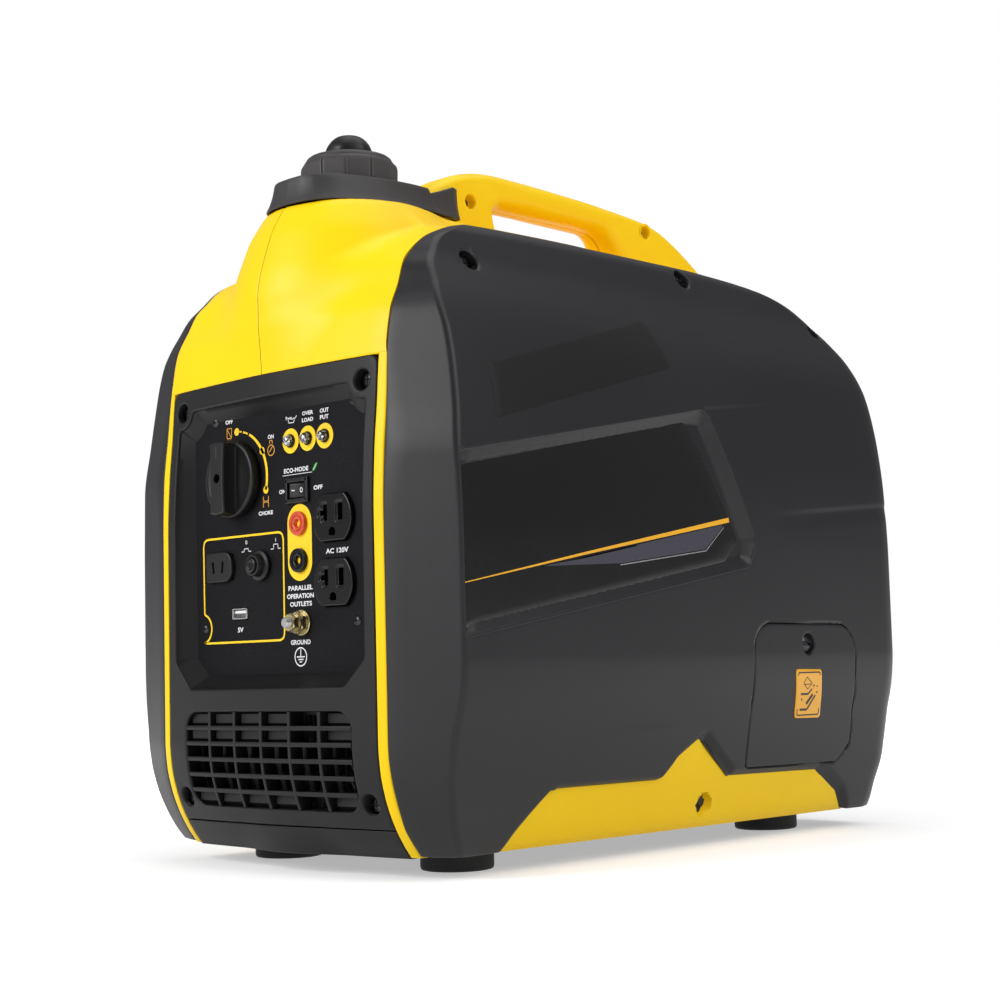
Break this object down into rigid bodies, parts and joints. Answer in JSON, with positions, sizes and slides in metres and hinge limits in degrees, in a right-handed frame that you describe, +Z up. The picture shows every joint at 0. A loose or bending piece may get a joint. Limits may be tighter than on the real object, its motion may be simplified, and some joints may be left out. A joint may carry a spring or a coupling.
{
  "type": "portable inverter generator",
  "caption": "Closed carry-handle inverter generator: yellow clamshell with charcoal covers, recessed control panel, round fuel cap, air grille and a working recoil starter.",
  "frame": {"origin": "on the ground, under the middle of the case", "axes": "+Z up, the control panel faces -Y, the side with the service cover faces +X"},
  "size_m": [0.292, 0.46, 0.445],
  "materials": {
    "yellow_shell": "moulded yellow, satin gloss",
    "charcoal_cover": "fine moulded texture, matte",
    "panel_black": "black, fine grain",
    "red_jack": "red, glossy",
    "label_gloss": "printed film, glossy",
    "lamp_lens": "clear lens",
    "foot_rubber": "black rubber",
    "screw_steel": "blackened steel",
    "plated_steel": "plated",
    "ground_brass": "plated brass",
    "pan_plastic": "moulded, matte",
    "cast_alloy": "die cast",
    "exhaust_steel": "heat-resistant paint",
    "winding_copper": "enamelled windings",
    "rope_cord": "braided",
    "plug_ceramic": "glazed"
  },
  "bodies": {
    "case": {"base_pan": "pan_plastic", "feet": "foot_rubber", "foot_bolts": "screw_steel", "shell_right": "yellow_shell", "shell_left": "yellow_shell", "side_panel_right": "charcoal_cover", "side_panel_left": "charcoal_cover", "front_bezel": "charcoal_cover", "front_skirt": "charcoal_cover", "control_plate": "panel_black", "intake_baffle": "panel_black", "rear_cover": "charcoal_cover", "exhaust_outlet": "exhaust_steel", "label_plate_right": "label_gloss", "label_plate_left": "label_gloss", "filler_tray": "charcoal_cover", "fuel_tank": "pan_plastic", "handle_screws": "screw_steel", "bezel_screws": "screw_steel", "panel_screws": "screw_steel", "side_screws": "screw_steel", "engine_switch": "pan_plastic", "rocker_frame": "panel_black", "indicator_lamps": "lamp_lens", "parallel_jack_red": "red_jack", "parallel_jack_black": "panel_black", "ac_outlet_upper": "panel_black", "ac_outlet_lower": "panel_black", "dc_socket": "panel_black", "dc_breaker": "panel_black", "usb_port": "plated_steel", "ground_stud": "plated_steel", "ground_nuts": "ground_brass", "inverter_module": "cast_alloy", "engine_mounts": "foot_rubber", "crankcase": "cast_alloy", "cylinder_barrel": "cast_alloy", "cylinder_head": "cast_alloy", "stator": "winding_copper", "recoil_housing": "charcoal_cover", "carburettor": "cast_alloy", "air_cleaner": "pan_plastic", "muffler": "exhaust_steel", "spark_plug": "plug_ceramic"},
    "engine_knob": {"engine_knob": "panel_black"},
    "eco_rocker": {"eco_rocker": "panel_black"},
    "breaker_button": {"breaker_button": "panel_black"},
    "cap_insert": {"cap_insert": "pan_plastic"},
    "fuel_cap": {"fuel_cap": "charcoal_cover"},
    "cap_vent_knob": {"cap_vent_knob": "panel_black"},
    "maintenance_cover": {"maintenance_cover": "charcoal_cover", "service_plate": "yellow_shell"},
    "cover_screw": {"cover_screw": "screw_steel"},
    "recoil_pulley": {"recoil_pulley": "panel_black", "recoil_rope": "rope_cord"},
    "recoil_grip": {"recoil_grip": "panel_black"},
    "crank": {"crankshaft": "plated_steel", "flywheel_rotor": "cast_alloy"},
    "piston": {"piston": "cast_alloy"},
    "oil_cap": {"oil_cap": "pan_plastic"}
  },
  "joints": [
    {"name": "engine_switch_turn", "type": "hinge", "parent": "case", "child": "engine_knob", "pos_m": [-0.0376, -0.2145, 0.231], "axis": [0, 1, 0], "range_deg": [0, 105]},
    {"name": "eco_rocker_tilt", "type": "hinge", "parent": "case", "child": "eco_rocker", "pos_m": [0.0198, -0.212, 0.2195], "axis": [0, 0, -1], "range_deg": [0, 18]},
    {"name": "breaker_button_press", "type": "slide", "parent": "case", "child": "breaker_button", "axis": [0, 1, 0], "range_m": [0, 0.003], "stiffness_N_per_m": 400, "springref_m": -0.001},
    {"name": "fuel_cap_lift", "type": "slide", "parent": "case", "child": "cap_insert", "axis": [0, 0, 1], "range_m": [0, 0.06]},
    {"name": "fuel_cap_turn", "type": "hinge", "parent": "cap_insert", "child": "fuel_cap", "pos_m": [0, -0.153, 0.42], "axis": [0, 0, 1], "range_deg": [0, 90]},
    {"name": "vent_knob_turn", "type": "hinge", "parent": "fuel_cap", "child": "cap_vent_knob", "pos_m": [0, -0.153, 0.435], "axis": [0, 0, 1], "range_deg": [0, 90]},
    {"name": "maintenance_cover_off", "type": "slide", "parent": "case", "child": "maintenance_cover", "axis": [1, 0, 0], "range_m": [0, 0.08]},
    {"name": "cover_screw_turn", "type": "hinge", "parent": "maintenance_cover", "child": "cover_screw", "pos_m": [0.14, 0.104, 0.124], "axis": [1, 0, 0], "range_deg": [0, 90]},
    {"name": "starter_pulley_turn", "type": "hinge", "parent": "case", "child": "recoil_pulley", "pos_m": [-0.118, 0.06, 0.15], "axis": [-1, 0, 0], "range_deg": [0, 750], "stiffness_Nm_per_rad": 0.01, "springref_deg": -229.18},
    {"name": "starter_grip_pull", "type": "slide", "parent": "case", "child": "recoil_grip", "axis": [-1, 0, 0], "range_m": [0, 0.5]},
    {"name": "crank_spin", "type": "hinge", "parent": "case", "child": "crank", "pos_m": [0, 0.06, 0.15], "axis": [1, 0, 0], "continuous": true},
    {"name": "piston_stroke", "type": "slide", "parent": "case", "child": "piston", "axis": [0, 0, 1], "range_m": [0, 0.038]},
    {"name": "oil_cap_turn", "type": "hinge", "parent": "case", "child": "oil_cap", "pos_m": [0.09, 0.096, 0.102], "axis": [1, 0, 0], "range_deg": [0, 360]}
  ],
  "couplings": [
    {"joint": "starter_grip_pull", "follows": "starter_pulley_turn", "m_per_rad": 0.038}
  ]
}
